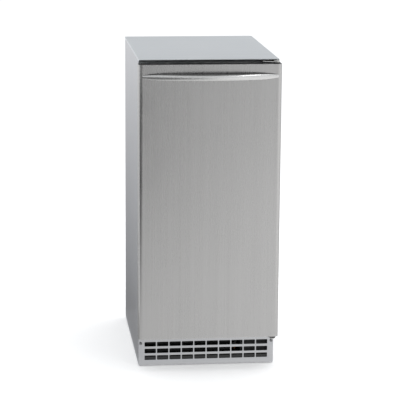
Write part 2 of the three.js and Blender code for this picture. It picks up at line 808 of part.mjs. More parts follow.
function topHingeBearing() {
  const centre = [hinge.x, hinge.y - doorFaceY];
  const nose = arc(centre, 9, 245, 450, 10);
  const plate = prism("z", [[139, 31], ...nose, [139, 34]], [doorHeight, doorHeight + 1.7]);
  return cut(plate, pinHole([doorHeight - 5, doorHeight + 5]));
}

function bottomHingeBearing() {
  const centre = [hinge.x, hinge.y - doorFaceY];
  return cut(rod("z", centre, 9, [armZ[1] + gap - doorBottom, -0.1], 20), pinHole([-10, 5]));
}

// ---- feet ----

function levelingFoot() {
  const pad = [[0, 0], [13, 0], [14, 0.6], [14, 2.2]];
  const stud = [[4.8, 2.2], [4.8, 27], [4, 28], [0, 28]];
  return revolve([...pad, ...stud], [0, 0], 16);
}

// ---- the assembly ----

const iceMaker = new THREE.Group();

const cabinet = new THREE.Group();
iceMaker.add(cabinet);
add(cabinet, "base_pan", "blackPaint", basePan());
add(cabinet, "left_side_panel", "sideSteel", sidePanel(-1));
add(cabinet, "right_side_panel", "sideSteel", sidePanel(1));
add(cabinet, "rear_panel", "galvanized", rearPanel());
add(cabinet, "rear_service_panel", "galvanized", rearServicePanel());
add(cabinet, "top_panel", "topSteel", topPanel());
add(cabinet, "front_top_rail", "galvanized", frontTopRail());
add(cabinet, "face_frame", "greyPlastic", faceFrame());
add(cabinet, "lower_front_panel", "sideSteel", lowerFrontPanel());
add(cabinet, "kick_panel", "sideSteel", kickPanel());
for (const [name, side] of [["left", -1], ["right", 1]]) {
  const place = [side * kick.screwX, frontY - gap * 2 - sheet, kick.screwZ];
  const screw = add(cabinet, "kick_panel_screw_" + name, "polishedSteel", kickScrew(), place);
  screw.rotation.x = Math.PI / 2;
}
add(cabinet, "bin_liner", "whitePlastic", binLiner());
add(cabinet, "cabinet_insulation", "foam", cabinetInsulation());
add(cabinet, "top_hinge_bracket", "polishedSteel", topHingeBracket());
add(cabinet, "top_hinge_pin", "polishedSteel", topHingePin());
add(cabinet, "bottom_hinge_bracket", "blackPaint", bottomHingeBracket());
add(cabinet, "bottom_hinge_pin", "polishedSteel", bottomHingePin());

const iceSection = new THREE.Group();
iceMaker.add(iceSection);
add(iceSection, "evaporator_frame", "whitePlastic", evaporatorFrame());
add(iceSection, "evaporator_mold", "tinnedCopper", evaporatorMold());
add(iceSection, "evaporator_coil", "copper", evaporatorCoil());
const chute = add(iceSection, "ice_chute", "bluePlastic", iceChute(), [0, 115, 712]);
chute.rotation.x = chuteTilt;
add(iceSection, "spray_manifold", "bluePlastic", sprayManifold());
add(iceSection, "water_sump", "whitePlastic", waterSump());
add(iceSection, "water_pump_motor", "greyPlastic", pumpMotor());
add(iceSection, "water_pump_volute", "bluePlastic", pumpVolute());
add(iceSection, "water_pump_impeller", "greyPlastic", pumpImpeller(), [pumpAt.x, pumpAt.y, 611]);
add(iceSection, "ice_curtain", "bluePlastic", iceCurtain(), [0, curtainAxis.y, curtainAxis.z]);
add(iceSection, "bin_thermostat_tube", "copper", thermostatTube());

const condensingUnit = new THREE.Group();
iceMaker.add(condensingUnit);
add(condensingUnit, "compressor", "blackPaint", compressor());
grommetPlaces.forEach(([x, y], i) => {
  add(condensingUnit, "compressor_grommet_" + (i + 1), "rubber", grommet(), [x, y, 0]);
});
add(condensingUnit, "condenser", "blackFins", condenser());
add(condensingUnit, "fan_shroud", "galvanized", fanShroud());
add(condensingUnit, "liquid_line_and_drier", "copper", liquidLine());
add(condensingUnit, "discharge_line", "copper", dischargeLine());
add(condensingUnit, "suction_line", "copper", suctionLine());
add(condensingUnit, "water_inlet_valve", "bluePlastic", waterInletValve());
add(condensingUnit, "drain_tube", "greyPlastic", drainTube());
add(condensingUnit, "control_box", "blackPaint", controlBox());
add(condensingUnit, "power_cord_gland", "blackPlastic", cordGland(), [glandAt.x, serviceY[1], glandAt.z]);
add(condensingUnit, "power_switch", "blackPlastic", powerSwitch(), [switchAt.x, frontY - 1, switchAt.z]);

const fanGroup = new THREE.Group();
fanGroup.position.set(fan.x, fan.y, fan.z);
condensingUnit.add(fanGroup);
add(fanGroup, "condenser_fan", "aluminium", condenserFan());
add(fanGroup, "fan_motor", "blackPaint", fanMotor());
add(fanGroup, "fan_motor_bracket", "galvanized", fanMotorBracket());

const door = new THREE.Group();
door.position.set(0, doorFaceY, doorBottom);
iceMaker.add(door);
add(door, "door_skin", "brushedSteel", doorSkin());
add(door, "door_top_cap", "blackPlastic", doorTopCap());
add(door, "door_bottom_cap", "blackPlastic", doorBottomCap());
add(door, "door_liner", "whitePlastic", doorLiner());
add(door, "door_insulation", "foam", doorInsulation());
add(door, "door_gasket", "rubber", doorGasket());
add(door, "door_handle", "polishedSteel", doorHandle());
add(door, "top_hinge_bearing", "blackPlastic", topHingeBearing());
add(door, "bottom_hinge_bearing", "blackPlastic", bottomHingeBearing());

const feet = new THREE.Group();
iceMaker.add(feet);
for (const [name, [x, y]] of Object.entries(footPlaces)) {
  add(feet, "leveling_foot_" + name, "greyPlastic", levelingFoot(), [x, y, 0]);
}

export default iceMaker;
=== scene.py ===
import math

import bmesh
import bpy
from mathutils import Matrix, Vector


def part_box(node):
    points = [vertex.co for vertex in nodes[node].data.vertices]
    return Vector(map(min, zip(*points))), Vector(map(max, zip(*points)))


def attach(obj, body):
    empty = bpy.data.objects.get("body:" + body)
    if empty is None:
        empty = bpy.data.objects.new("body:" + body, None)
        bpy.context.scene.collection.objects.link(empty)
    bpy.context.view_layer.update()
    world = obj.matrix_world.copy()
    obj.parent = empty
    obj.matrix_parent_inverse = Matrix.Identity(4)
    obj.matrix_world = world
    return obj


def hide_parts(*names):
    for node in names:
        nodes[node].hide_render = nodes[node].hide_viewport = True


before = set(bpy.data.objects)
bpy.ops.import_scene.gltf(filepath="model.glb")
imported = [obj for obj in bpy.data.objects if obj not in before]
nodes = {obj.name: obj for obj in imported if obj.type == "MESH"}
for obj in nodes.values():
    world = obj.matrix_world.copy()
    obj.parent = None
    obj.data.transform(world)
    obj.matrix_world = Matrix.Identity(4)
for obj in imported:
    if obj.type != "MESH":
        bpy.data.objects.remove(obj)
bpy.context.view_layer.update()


# ---- places and outlines, in millimetres in the row frame ----


def reach(node):
    """A CAD node's box at rest: x from and to, y from and to, z from and to."""
    low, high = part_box(node)
    return [round(1000 * value, 2) for pair in zip(low, high) for value in pair]


def at(axis, a, b, depth):
    """The point with a and b across an axis, in X, Y, Z order, and depth along it."""
    if axis == "x":
        return Vector((depth, a, b))
    if axis == "y":
        return Vector((a, depth, b))
    return Vector((a, b, depth))


def arc(centre, radius, start, end, steps):
    angles = [math.radians(start + (end - start) * i / steps) for i in range(steps + 1)]
    return [(centre[0] + radius * math.cos(a), centre[1] + radius * math.sin(a)) for a in angles]


def circle(centre, radius, steps=24):
    return arc(centre, radius, 0, 360, steps)[:-1]


def rounded(x, y, radius, steps=5):
    """A rectangle with round corners."""
    left, right, low, high = x[0] + radius, x[1] - radius, y[0] + radius, y[1] - radius
    corners = [((right, low), -90), ((right, high), 0), ((left, high), 90), ((left, low), 180)]
    turns = [arc(centre, radius, start, start + 90, steps) for centre, start in corners]
    return [point for turn in turns for point in turn]


def bent_line(points, bend, steps=5):
    """A run of straight lines with its corners rounded, in two or three dimensions."""
    corners = [Vector(p) for p in points]
    line = [corners[0]]
    for before, corner, after in zip(corners, corners[1:], corners[2:]):
        start = corner + (before - corner).normalized() * min(bend, 0.5 * (before - corner).length)
        end = corner + (after - corner).normalized() * min(bend, 0.5 * (after - corner).length)
        for i in range(steps + 1):
            t = i / steps
            line.append(start.lerp(corner, t).lerp(corner.lerp(end, t), t))
    line.append(corners[-1])
    return line


def folded(points, thickness, bend, steps=5):
    """The closed outline of a folded sheet: it lies on the left of its outer face's points."""
    line = bent_line([(x, y, 0) for x, y in points], bend, steps)
    inner = []
    for i, point in enumerate(line):
        along = (line[min(i + 1, len(line) - 1)] - line[max(i - 1, 0)]).normalized()
        inner.append(point + Vector((-along.y, along.x, 0)) * thickness)
    return [(p.x, p.y) for p in line + inner[::-1]]


# ---- finishes ----


class Value:
    """A socket whose value varies over a surface. Arithmetic on it adds Math nodes."""

    def __init__(self, finish, socket):
        self.finish = finish
        self.socket = socket

    def math(self, operation, *terms):
        return self.finish.node("ShaderNodeMath", {"operation": operation}, list(terms))

    def __add__(self, other):
        return self.math("ADD", self, other)

    def __sub__(self, other):
        return self.math("SUBTRACT", self, other)

    def __rsub__(self, other):
        return self.math("SUBTRACT", other, self)

    def __mul__(self, other):
        return self.math("MULTIPLY", self, other)

    __radd__ = __add__
    __rmul__ = __mul__

    def least(self, other):
        return self.math("MINIMUM", self, other)

    def most(self, other):
        return self.math("MAXIMUM", self, other)

    def rise(self, low, high):
        """0 below low and 1 above high, with a smooth step between them."""
        sockets = {"Value": self, "From Min": low, "From Max": high}
        return self.finish.node("ShaderNodeMapRange", {"interpolation_type": "SMOOTHSTEP"}, sockets)


class Finish:
    """A material: a Principled shader, its constants, and the nodes that vary it over a surface."""

    def __init__(self, name, constants):
        self.material = bpy.data.materials.new(name)
        self.material.use_nodes = True
        self.tree = self.material.node_tree
        self.tree.nodes.clear()
        self.shader = self.tree.nodes.new("ShaderNodeBsdfPrincipled")
        output = self.tree.nodes.new("ShaderNodeOutputMaterial")
        self.tree.links.new(self.shader.outputs["BSDF"], output.inputs["Surface"])
        for socket, value in constants.items():
            self.shader.inputs[socket].default_value = value
        self.place = self.node("ShaderNodeTexCoord", {}, {}, "Object")

    def node(self, kind, settings, sockets, output=0):
        """Adds a node with its settings, and values or links for its sockets. Gives one output."""
        made = self.tree.nodes.new(kind)
        for key, value in settings.items():
            setattr(made, key, value)
        pairs = enumerate(sockets) if isinstance(sockets, list) else sockets.items()
        for key, value in pairs:
            if isinstance(value, Value):
                self.tree.links.new(value.socket, made.inputs[key])
            else:
                made.inputs[key].default_value = value
        return Value(self, made.outputs[output])

    def feed(self, socket, value):
        self.tree.links.new(value.socket, self.shader.inputs[socket])

    def noise(self, scale, stretch=(1, 1, 1), detail=2.0, roughness=0.5):
        """Soft noise around a half, with features one metre over scale across."""
        spread = self.node("ShaderNodeVectorMath", {"operation": "MULTIPLY"}, [self.place, stretch])
        sockets = {"Vector": spread, "Scale": scale, "Detail": detail, "Roughness": roughness}
        return self.node("ShaderNodeTexNoise", {}, sockets)

    def cells(self, scale, output="Distance"):
        return self.node("ShaderNodeTexVoronoi", {}, {"Vector": self.place, "Scale": scale}, output)

    def part(self, vector, axis):
        return self.node("ShaderNodeSeparateXYZ", {}, {"Vector": vector}, "XYZ"["xyz".index(axis)])

    def blend(self, mask, one, two):
        """Colour one where the mask is 0 and two where it is 1."""
        sockets = {0: mask, 6: one, 7: two}
        return self.node("ShaderNodeMix", {"data_type": "RGBA"}, sockets, 2)

    def bump(self, height, distance, strength=1.0):
        sockets = {"Height": height, "Distance": distance, "Strength": strength}
        self.feed("Normal", self.node("ShaderNodeBump", {}, sockets))

    def upward(self, low=0.35, high=0.95):
        """1 on faces that look up, where dust settles."""
        facing = self.node("ShaderNodeNewGeometry", {}, {}, "Normal")
        return self.part(facing, "z").rise(low, high)

    def near_edges(self, spans, width):
        """1 along the edges of a box, falling to 0 a width in millimetres away from them."""
        distances = []
        for axis, (low, high) in zip("xyz", spans):
            place = self.part(self.place, axis)
            distances.append((place - low / 1000).least(high / 1000 - place))
        one, two, three = distances
        second = one.least(two).most(one.most(two).least(three))
        return 1 - second.rise(0, width / 1000)


def tint(colour, share=1.0):
    """A colour and its opacity, made lighter or darker by a share."""
    return (*[min(1.0, channel * share) for channel in colour], 1.0)


def brushed_steel(name, colour, roughness, grain, pull=0.0, worn=None, contrast=1.0):
    """Brushed stainless sheet: its grain runs along one axis, pull spreads a highlight across it,
    and worn is the box whose edges are scuffed."""
    steel = Finish(name, {"Metallic": 1.0, "Anisotropic": pull})
    stretch = [0.012 if axis == grain else 1.0 for axis in "xyz"]
    hairs = steel.noise(1500, stretch)
    lines = steel.noise(260, stretch, 3.0)
    bands = steel.noise(45, stretch, 2.0)
    clouds = steel.noise(6, detail=3.0)
    tone = (lines - 0.5) * 0.5 + (bands - 0.5) * 0.3 + (clouds - 0.5) * 0.5
    surface = steel.blend(tone * contrast + 0.5, tint(colour, 0.88), tint(colour, 1.12))
    gloss = (hairs - 0.5) * 0.10 + (clouds - 0.5) * 0.12 + (lines - 0.5) * 0.06 + roughness
    if worn:
        scuffs = steel.noise(120, detail=4.0, roughness=0.7).rise(0.42, 0.62)
        wear = steel.near_edges(worn, 3.5) * scuffs
        surface = steel.blend(wear * 0.55, surface, tint(colour, 1.2))
        gloss = gloss - wear * 0.08
    steel.surface = surface
    steel.feed("Base Color", surface)
    steel.feed("Roughness", gloss)
    steel.bump(hairs * 0.6 + lines * 0.4, 0.00004, 0.35)
    return steel


def handle_steel():
    """Satin steel for the bar, with painted shade: its top and its side towards the door are
    coloured dark, and the door mirrors that dark side.
    """
    steel = brushed_steel("handle_steel_satin", (0.62, 0.62, 0.615), 0.26, "x", contrast=0.5)
    facing = steel.node("ShaderNodeTexCoord", {}, {}, "Normal")
    # painted shade: faces looking up or towards the door are blended to a dark grey
    painted_shade = steel.part(facing, "y").rise(-0.6, 0.0).most(steel.part(facing, "z").rise(0.35, 0.7))
    steel.feed("Base Color", steel.blend(painted_shade, steel.surface, (0.20, 0.20, 0.205, 1.0)))
    return steel


def moulded(name, colour, roughness, texture=0.00006, dusty=0.0):
    """Moulded plastic or rubber: fine pebbled texture, slight flow clouds and settled dust."""
    plastic = Finish(name, {"IOR": 1.5})
    pebbles = plastic.noise(1700, detail=2.0)
    ripples = plastic.noise(260, detail=2.0)
    clouds = plastic.noise(9, detail=4.0)
    surface = plastic.blend(clouds.rise(0.2, 0.8), tint(colour, 0.96), tint(colour, 1.03))
    gloss = (clouds - 0.5) * 0.2 + (pebbles - 0.5) * 0.12 + roughness
    if dusty:
        dust = plastic.upward() * plastic.noise(60, detail=5.0).rise(0.35, 0.7) * dusty
        surface = plastic.blend(dust, surface, (0.42, 0.41, 0.39, 1.0))
        gloss = gloss + dust * 0.4
    plastic.feed("Base Color", surface)
    plastic.feed("Roughness", gloss)
    plastic.bump(pebbles + ripples * 0.5, texture)
    return plastic


def galvanised(name, colour):
    """Zinc-coated sheet: spangles of slightly different shade and gloss, with dull white bloom."""
    zinc = Finish(name, {"Metallic": 0.9})
    spangle = zinc.node("ShaderNodeSeparateColor", {}, {"Color": zinc.cells(75, "Color")})
    bloom = zinc.noise(14, detail=5.0, roughness=0.6).rise(0.5, 0.72)
    scratches = zinc.noise(500, (1, 1, 0.05)).rise(0.6, 0.72)
    surface = zinc.blend(spangle, tint(colour, 0.9), tint(colour, 1.08))
    surface = zinc.blend(bloom * 0.25, surface, (0.62, 0.63, 0.64, 1.0))
    zinc.feed("Base Color", surface)
    zinc.feed("Roughness", spangle * 0.08 + bloom * 0.15 + scratches * 0.06 + 0.38)
    zinc.bump(spangle * 0.3 + scratches * 0.4, 0.00005)
    return zinc


def sprayed(name, colour, roughness, dusty=0.5):
    """Sprayed enamel: orange peel, thin places and settled dust."""
    paint = Finish(name, {"IOR": 1.38, "Coat Roughness": 0.25})
    peel = paint.noise(420, detail=1.5)
    thin = paint.noise(35, detail=4.0).rise(0.55, 0.8)
    dust = paint.upward() * paint.noise(45, detail=6.0, roughness=0.65).rise(0.3, 0.75) * dusty
    surface = paint.blend(thin * 0.5, tint(colour), tint(colour, 1.9))
    paint.feed("Base Color", paint.blend(dust, surface, (0.36, 0.34, 0.31, 1.0)))
    paint.feed("Roughness", thin * 0.12 + dust * 0.5 + roughness)
    paint.feed("Coat Weight", 0.2 - dust * 0.2)
    paint.bump(peel, 0.00008)
    return paint


def bare_metal(name, fresh, tarnished, roughness, patches=22):
    """Drawn or plated metal: bright, with patches of tarnish and fine drawing lines."""
    metal = Finish(name, {"Metallic": 1.0})
    tarnish = metal.noise(patches, detail=5.0, roughness=0.6).rise(0.4, 0.68)
    drawn = metal.noise(900, (1, 1, 0.05))
    metal.feed("Base Color", metal.blend(tarnish, tint(fresh), tint(tarnished)))
    metal.feed("Roughness", tarnish * 0.22 + (drawn - 0.5) * 0.1 + roughness)
    metal.bump(drawn + tarnish * 0.3, 0.00003)
    return metal


def poured_foam(name, colour):
    """Rigid polyurethane foam: open cells under a wrinkled yellow skin."""
    foam = Finish(name, {"IOR": 1.45})
    bubbles = foam.cells(700)
    swells = foam.noise(28, detail=4.0)
    surface = foam.blend(swells.rise(0.35, 0.7), tint(colour, 0.82), tint(colour, 1.1))
    foam.feed("Base Color", surface)
    foam.feed("Roughness", bubbles * 0.2 + 0.8)
    foam.bump(bubbles + swells * 2.0, 0.0006)
    return foam


def around(*names):
    """The box round some CAD nodes, as spans in x, y and z."""
    boxes = [reach(name) for name in names]
    spans = zip(*[[(box[i], box[i + 1]) for i in (0, 2, 4)] for box in boxes])
    return [(min(low for low, _ in span), max(high for _, high in span)) for span in spans]


door_box = around("door_skin")
cabinet_box = around("left_side_panel", "right_side_panel")
top_box = around("top_panel")
kick_box = around("kick_panel")
neutral_steel, cool_steel = (0.50, 0.497, 0.494), (0.50, 0.512, 0.54)
pale_steel, kick_sheet = (0.62, 0.65, 0.675), (0.525, 0.53, 0.545)

worn_tin = (0.68, 0.68, 0.66), (0.46, 0.44, 0.40)
finishes = {
    "door_steel": brushed_steel("door_steel_brushed", neutral_steel, 0.28, "z", 0.8, door_box),
    "side_steel": brushed_steel("side_steel_brushed", cool_steel, 0.32, "z", 0.6, cabinet_box),
    "top_steel": brushed_steel("top_steel_brushed", pale_steel, 0.34, "x", 0.0, top_box),
    "kick_steel": brushed_steel("kick_steel_brushed", kick_sheet, 0.36, "x", 0.2, kick_box),
    "handle_steel": handle_steel(),
    "bright_steel": bare_metal("plated_steel", (0.70, 0.70, 0.69), (0.52, 0.52, 0.50), 0.22),
    "screw_steel": bare_metal("screw_steel_zinc", (0.34, 0.34, 0.35), (0.20, 0.20, 0.20), 0.3, 200),
    "galvanized_steel": galvanised("galvanized_sheet", (0.52, 0.54, 0.55)),
    "black_paint": sprayed("black_enamel", (0.012, 0.012, 0.013), 0.32),
    "black_plastic": moulded("black_moulding", (0.018, 0.018, 0.02), 0.42, dusty=0.04),
    "grey_plastic": moulded("grey_moulding", (0.16, 0.165, 0.17), 0.45),
    "foot_plastic": moulded("foot_moulding", (0.03, 0.03, 0.032), 0.6, 0.0001, 0.2),
    "white_plastic": moulded("white_moulding", (0.80, 0.81, 0.80), 0.3, 0.00004),
    "blue_plastic": moulded("ice_blue_moulding", (0.42, 0.60, 0.70), 0.25, 0.00003),
    "foam": poured_foam("yellow_foam", (0.75, 0.66, 0.36)),
    "black_rubber": moulded("black_rubber_moulding", (0.02, 0.02, 0.02), 0.75, 0.00012, 0.3),
    "gasket_rubber": moulded("gasket_vinyl", (0.10, 0.10, 0.105), 0.55, 0.00005),
    "copper": bare_metal("copper_tube", (0.72, 0.36, 0.20), (0.38, 0.17, 0.09), 0.22),
    "tinned_copper": bare_metal("tinned_copper_mold", *worn_tin, 0.25, 60),
    # black coat on the condenser, partly a real coating and partly painted shade seen through the
    # grille's slots
    "black_fins": sprayed("black_fin_coat_and_painted_shade", (0.012, 0.012, 0.013), 0.5, 0.15),
    "aluminium_fan": bare_metal("fan_aluminium", (0.66, 0.67, 0.68), (0.48, 0.48, 0.48), 0.3),
}


# ---- making pieces ----


class Piece:
    """A mesh in the making, in millimetres in the row frame."""

    def __init__(self, name):
        self.name = name
        self.mesh = bmesh.new()

    def skin(self, loops, ring=False):
        """A surface through loops of equal length, closed at its ends or joined in a ring."""
        rows = [[self.mesh.verts.new(point) for point in loop] for loop in loops]
        if ring:
            rows.append(rows[0])
        for one, two in zip(rows, rows[1:]):
            for i, corner in enumerate(one):
                j = (i + 1) % len(one)
                self.mesh.faces.new((corner, one[j], two[j], two[i]))
        if not ring:
            self.mesh.faces.new(rows[0])
            self.mesh.faces.new(rows[-1])
        return self

    def prism(self, outline, span, axis="z"):
        """One outline between two places along an axis."""
        return self.skin([[at(axis, a, b, place) for a, b in outline] for place in span])

    def stack(self, x, y, levels, radius, axis="z", ring=False, steps=5):
        """Rounded rectangles along an axis: each level is an inset and a place on the axis."""
        loops = []
        for inset, place in levels:
            across, along = (x[0] + inset, x[1] - inset), (y[0] + inset, y[1] - inset)
            outline = rounded(across, along, max(radius - inset, 0.3), steps)
            loops.append([at(axis, a, b, place) for a, b in outline])
        return self.skin(loops, ring=ring)

    def lathe(self, profile, centre, axis="z", sides=32, ring=False):
        """A profile of radius and place along an axis, turned about it."""
        loops = []
        for radius, place in profile:
            loops.append([at(axis, a, b, place) for a, b in circle(centre, radius, sides)])
        return self.skin(loops, ring=ring)

    def sweep(self, path, section):
        """A section of side and up points carried along a path without twisting."""
        path = [Vector(p) for p in path]
        up = Vector((0, 0, 1))
        loops = []
        for i, point in enumerate(path):
            along = (path[min(i + 1, len(path) - 1)] - path[max(i - 1, 0)]).normalized()
            if i == 0 and abs(along.z) > 0.9:
                up = Vector((0, 1, 0))
            side = along.cross(up).normalized()
            up = side.cross(along).normalized()
            loops.append([point + side * a + up * b for a, b in section])
        return self.skin(loops)

    def tube(self, points, radius, bend, sides=12, steps=6):
        return self.sweep(bent_line(points, bend, steps), circle((0, 0), radius, sides))

    def block(self, x, y, z, radius=0.5):
        """A block with its upright corners rounded and its other edges eased."""
        ease = min(radius, 0.6, 0.3 * (z[1] - z[0]))
        levels = [(ease, z[0]), (0, z[0] + ease), (0, z[1] - ease), (ease, z[1])]
        return self.stack(x, y, levels, max(radius, ease + 0.3), steps=3)

    def plate(self, outline, holes, span, axis="y", ease=0.25):
        """A flat sheet with holes and eased edges, between two places along an axis."""
        curve = bpy.data.curves.new("sheet", "CURVE")
        curve.dimensions = "2D"
        curve.fill_mode = "BOTH"
        curve.extrude = (span[1] - span[0]) / 2 - ease
        curve.bevel_depth = ease
        curve.bevel_resolution = 1
        curve.offset = -ease
        for loop in [outline, *holes]:
            spline = curve.splines.new("POLY")
            spline.points.add(len(loop) - 1)
            spline.use_cyclic_u = True
            for point, (a, b) in zip(spline.points, loop):
                point.co = (a, b, 0, 1)
        holder = bpy.data.objects.new("sheet", curve)
        bpy.context.scene.collection.objects.link(holder)
        evaluated = holder.evaluated_get(bpy.context.evaluated_depsgraph_get())
        flat = bpy.data.meshes.new_from_object(evaluated)
        middle = (span[0] + span[1]) / 2
        for vertex in flat.vertices:
            a, b, c = vertex.co
            vertex.co = at(axis, a, b, middle + c)
        self.mesh.from_mesh(flat)
        bpy.data.objects.remove(holder)
        bpy.data.curves.remove(curve)
        bpy.data.meshes.remove(flat)
        return self

    def screw(self, centre, place, axis="y", out=-1, radius=3.6, dome=0.65):
        """A pan-head screw: a low dome with a cross recess, standing out along an axis."""
        rings = [(1.0, 0.0), (1.0, 0.34), (0.93, 0.65), (0.78, 0.86), (0.6, 0.95), (0.5, 0.98)]
        rings += [(share, 1.0) for share in (0.42, 0.34, 0.26, 0.18, 0.10, 0.03)]
        loops = []
        for share, rise in rings:
            loop = []
            for a, b in circle((0, 0), share, 32):
                recess = min(abs(a), abs(b)) < 0.13 and max(abs(a), abs(b)) < 0.55
                height = (rise - 0.55 if recess else rise) * dome * radius
                across, along = centre[0] + a * radius, centre[1] + b * radius
                loop.append(at(axis, across, along, place + out * height))
            loops.append(loop)
        return self.skin(loops)

    def done(self, body, slot, replaced=(), bevel=0.0, smooth=40):
        """Makes the object, gives it its finish and rides it on its body."""
        bmesh.ops.remove_doubles(self.mesh, verts=self.mesh.verts, dist=0.001)
        bmesh.ops.recalc_face_normals(self.mesh, faces=self.mesh.faces)
        bmesh.ops.scale(self.mesh, vec=(0.001,) * 3, verts=self.mesh.verts)
        for face in self.mesh.faces:
            face.smooth = True
        for edge in self.mesh.edges:
            edge.smooth = bool(bevel) or edge.calc_face_angle(math.pi) < math.radians(smooth)
        mesh = bpy.data.meshes.new(self.name)
        self.mesh.to_mesh(mesh)
        self.mesh.free()
        mesh.materials.append(finishes[slot].material)
        piece = bpy.data.objects.new(self.name, mesh)
        bpy.context.scene.collection.objects.link(piece)
        if bevel:
            ease_edges(piece, bevel)
        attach(piece, body)
        if replaced:
            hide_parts(*replaced)
        return piece


def ease_edges(piece, width, segments=2):
    """Rounds a piece's sharp edges by a width in millimetres and keeps its flats flat."""
    bevel = piece.modifiers.new("eased_edges", "BEVEL")
    bevel.width = width / 1000
    bevel.segments = segments
    bevel.limit_method = "ANGLE"
    bevel.angle_limit = math.radians(35)
    normals = piece.modifiers.new("flat_faces", "WEIGHTED_NORMAL")
    normals.keep_sharp = False


# ---- the door ----

skin_x = reach("door_skin")[:2]
face_y, skin_back = reach("door_skin")[2:4]
door_z = reach("door_skin")[4:]


def door_skin():
    """The folded front sheet: a flat face, round upright corners and returns at both sides."""
    left, right = skin_x
    run = [(right, skin_back), (right, face_y), (left, face_y), (left, skin_back)]
    outline = folded(run[::-1], 1.0, 11.0, 14)
    Piece("door_skin_folded").prism(outline, door_z).done("door", "door_steel", ["door_skin"], 0.35)


def door_handle():
    """The bowed bar: an oval section that thins and turns in to the door at both tips."""
    half_length, front, back, low, high = reach("door_handle")[1:]
    inner_half_length = 167
    thick, tip_height = 11.5, 10
    middle_z = (low + high) / 2
    stations = 56
    sides = 28
    loops = []
    for i in range(stations + 1):
        t = max(-0.998, min(0.998, 2 * i / stations - 1))
        bow = 1 - t * t
        outer = Vector((half_length * t, back - (back - front) * bow, 0))
        inner = Vector((inner_half_length * t, back - (back - front - thick) * bow, 0))
        half = (tip_height + (high - low - tip_height) * (1 - t ** 8)) / 2
        centre = (outer + inner) / 2
        loop = []
        for turn in range(sides):
            angle = 2 * math.pi * turn / sides
            across = math.copysign(abs(math.cos(angle)) ** 0.8, math.cos(angle))
            up = math.copysign(abs(math.sin(angle)) ** 0.8, math.sin(angle))
            point = centre + (outer - inner) / 2 * across
            loop.append(Vector((point.x, point.y, middle_z + half * up)))
        loops.append(loop)
    Piece("door_handle_bar").skin(loops).done("door", "handle_steel", ["door_handle"], smooth=60)


def door_liner():
    """The inner panel: a thin moulding with a raised plug, and a pressed field in the plug."""
    left, right, plate_y, crown_y, low, high = reach("door_liner")
    step = plate_y + 2.4
    dike_x, dike_z = (-141, 141), (309, 787)
    piece = Piece("door_liner_moulded")
    border = rounded((left, right), (low, high), 6)
    piece.plate(border, [], (plate_y, step), ease=0.6)
    levels = [(-3.0, step - 0.4), (-1.2, step + 0.5), (0, step + 2.5), (0.6, crown_y - 3.5)]
    levels += [(1.8, crown_y - 1.2), (4.2, crown_y), (20, crown_y), (21.5, crown_y - 0.5)]
    levels += [(23, crown_y - 1.4), (24.5, crown_y - 1.8), (60, crown_y - 1.8)]
    piece.stack(dike_x, dike_z, levels, 8, "y", steps=8)
    piece.done("door", "white_plastic", ["door_liner"], smooth=50)


def door_gasket():
    """The magnetic seal: a bellows strip with a flat face, mitred round the plug."""
    left, right, base_y, seal_y, low, high = reach("door_gasket")
    base, seal = base_y + 0.1, seal_y - 0.1
    inset = 15.5
    section = [(0.5, base), (0, base + 2.2), (2.2, base + 3.6), (0.4, base + 5.2), (0, base + 7)]
    section += [(0.8, seal - 0.8), (2.2, seal), (inset - 2.6, seal), (inset - 1.0, seal - 1.0)]
    section += [(inset, base + 6.4)]
    section += [(inset - 3.4, base + 4.6), (inset - 0.8, base + 2.6), (inset, base)]
    piece = Piece("door_gasket_bellows")
    piece.stack((left, right), (low, high), section, 17, "y", ring=True, steps=6)
    piece.done("door", "gasket_rubber", ["door_gasket"], smooth=50)


# ---- the cabinet's sheets ----

kick_screw_x, kick_screw_z = 180.2, 65


def top_panel():
    """The top sheet: a shallow pan turned over, with a short lip in front and a deep one behind."""
    left, right, front, back, low, high = reach("top_panel")
    lip, front_lip = high - 4.6, high - 0.9
    sheet, bend, margin = 1.2, 1.0, 30
    piece = Piece("top_panel_folded")
    section = [(0, lip)]
    section += [(bend + a, high - bend + b) for a, b in arc((0, 0), bend, 180, 90, 5)]
    section += [(margin, high), (margin, high - sheet)]
    section += [(bend + a, high - bend + b) for a, b in arc((0, 0), 0.1, 90, 180, 5)]
    section.append((0.9, lip))
    piece.stack((left, right), (front, back), section, 3.4, ring=True)
    x, y = (left + margin, right - margin), (front + margin, back - margin)
    piece.prism(rounded(x, y, 0.3, 5), (high - sheet, high))
    for corner in piece.mesh.verts:
        if corner.co.y < front + 2:
            corner.co.z = max(corner.co.z, front_lip)
    rear_lip = rounded((left + 3, right - 3), (low, lip + 1), 0.6, 2)
    piece.plate(rear_lip, [], (back - sheet, back), "y")
    piece.done("cabinet", "top_steel", ["top_panel"], smooth=50)


def side_panel(side, name):
    """One side sheet, with its front and back edges folded in."""
    outer = 186 * side
    inner, fold = outer - side, outer - 15 * side
    folds_low, folds_high = 84.5, 839.8
    front, back, low, high = reach(name)[2:]
    run = [(fold, front), (outer, front), (outer, back), (fold, back)]
    piece = Piece(name + "_folded")
    piece.prism(folded(run, side, 1.8, 4), (folds_low, folds_high))
    front, back = front + 1.2, back - 0.2
    flat = [(outer, front), (outer, back), (inner, back), (inner, front)]
    piece.prism(flat, (low, folds_low))
    piece.prism(flat, (folds_high, high))
    piece.done("cabinet", "side_steel", [name], 0.3)


